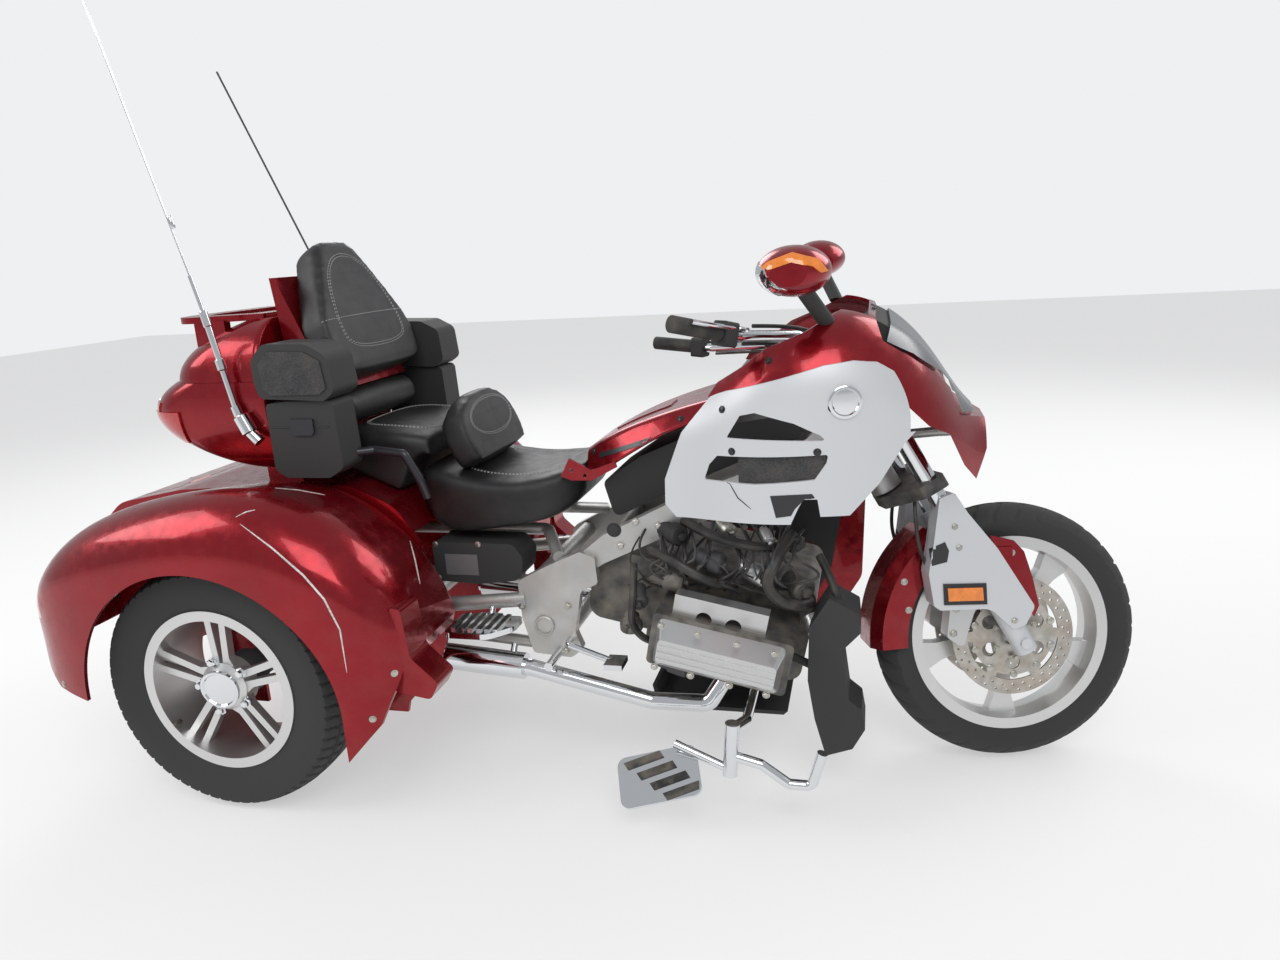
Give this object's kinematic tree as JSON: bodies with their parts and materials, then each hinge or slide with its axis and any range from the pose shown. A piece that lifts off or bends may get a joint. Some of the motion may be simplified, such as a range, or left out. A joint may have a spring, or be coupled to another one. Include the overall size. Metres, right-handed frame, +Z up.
{
  "type": "touring trike",
  "caption": "Full-dress touring motorcycle on a two-wheeled rear body with trunk, top box, upholstered seats, steered front fork and rolling wheels.",
  "frame": {"origin": "floor level, below the middle of the overall box", "axes": "+X forward along the vehicle, +Y to the rider's left, +Z up"},
  "size_m": [2.7052, 1.2832, 2.0106],
  "materials": {
    "red_paint": "gloss candy paint, scratched and dusty",
    "silver_paint": "satin silver paint",
    "black_plastic": "moulded, fine grain",
    "gloss_black": "smooth black",
    "red_lens": "clear red lamp lens",
    "smoke_lens": "long smoky lens",
    "leather": "black vinyl leather with pale grey stitching",
    "cast_alloy": "cast, bead blasted",
    "wheel_alloy": "machined and painted alloy with dust",
    "chrome": "polished",
    "steel": "brushed, a little rust",
    "dark_iron": "black painted frame and axle",
    "rubber": "ribbed rubber",
    "tyre_rubber": "worn black tread"
  },
  "bodies": {
    "root": {"airbox": "black_plastic", "antenna_left": "gloss_black", "antenna_right": "chrome", "backrest_shell": "red_paint", "belly_pan": "black_plastic", "dash": "black_plastic", "engine_block": "cast_alloy", "exhausts": "chrome", "foot_controls": "chrome", "frame": "dark_iron", "front_duct": "black_plastic", "fuel_shelter": "red_paint", "grab_rails": "gloss_black", "headlamp_lens": "smoke_lens", "highway_board_left": "chrome", "highway_board_right": "chrome", "lower_cowl_left": "red_paint", "lumbar_roll": "leather", "mirror_arms": "black_plastic", "mirror_housings": "red_paint", "passenger_backrest": "leather", "passenger_boards": "rubber", "passenger_seat": "leather", "port_spacer": "cast_alloy", "rear_axle": "dark_iron", "rider_backrest": "leather", "rider_seat": "leather", "side_case": "black_plastic", "side_cover_left": "silver_paint", "side_cover_right": "silver_paint", "side_grilles": "black_plastic", "side_pockets": "black_plastic", "speaker_pods": "black_plastic", "tail_lamps": "red_lens", "top_box_tub": "red_paint", "trike_body": "red_paint", "rear_fender_right": "red_paint", "rear_fender_left": "red_paint", "upper_fairing": "red_paint", "valve_covers": "cast_alloy"},
    "steering": {"fork_yokes": "cast_alloy", "fork_tubes": "chrome", "fork_covers": "silver_paint", "front_fender": "red_paint", "calipers": "cast_alloy", "handlebar": "chrome", "grips": "rubber", "bar_controls": "black_plastic"},
    "front_wheel": {"front_tyre": "tyre_rubber", "front_rim": "wheel_alloy", "brake_discs": "steel"},
    "rear_wheel_right": {"rear_tyre_right": "tyre_rubber", "rear_rim_right": "wheel_alloy"},
    "rear_wheel_left": {"rear_tyre_left": "tyre_rubber", "rear_rim_left": "wheel_alloy"},
    "top_box_lid": {"top_box_lid": "red_paint"},
    "trunk_hatch": {"trunk_hatch": "red_paint"}
  },
  "joints": [
    {"name": "steering", "type": "hinge", "parent": "root", "child": "steering", "pos_m": [0.69894, 0, 0.78525], "axis": [-0.4886, 0, 0.8725], "range_deg": [-52.7, 17.3]},
    {"name": "front_wheel_spin", "type": "hinge", "parent": "steering", "child": "front_wheel", "pos_m": [1.03581, 0.02129, 0.32028], "axis": [-0.2653, 0.9527, -0.1486], "continuous": true},
    {"name": "rear_wheel_right_spin", "type": "hinge", "parent": "root", "child": "rear_wheel_right", "pos_m": [-0.8213, -0.47, 0.32], "axis": [0, 1, 0], "continuous": true},
    {"name": "rear_wheel_left_spin", "type": "hinge", "parent": "root", "child": "rear_wheel_left", "pos_m": [-0.8213, 0.47, 0.32], "axis": [0, 1, 0], "continuous": true},
    {"name": "top_box_lid_hinge", "type": "hinge", "parent": "root", "child": "top_box_lid", "pos_m": [-0.7493, 0, 1.184], "axis": [0, 1, 0], "range_deg": [0, 60]},
    {"name": "trunk_hatch_hinge", "type": "hinge", "parent": "root", "child": "trunk_hatch", "pos_m": [-1.1326, 0, 0.734], "axis": [0, 1, 0], "range_deg": [0, 70]}
  ]
}
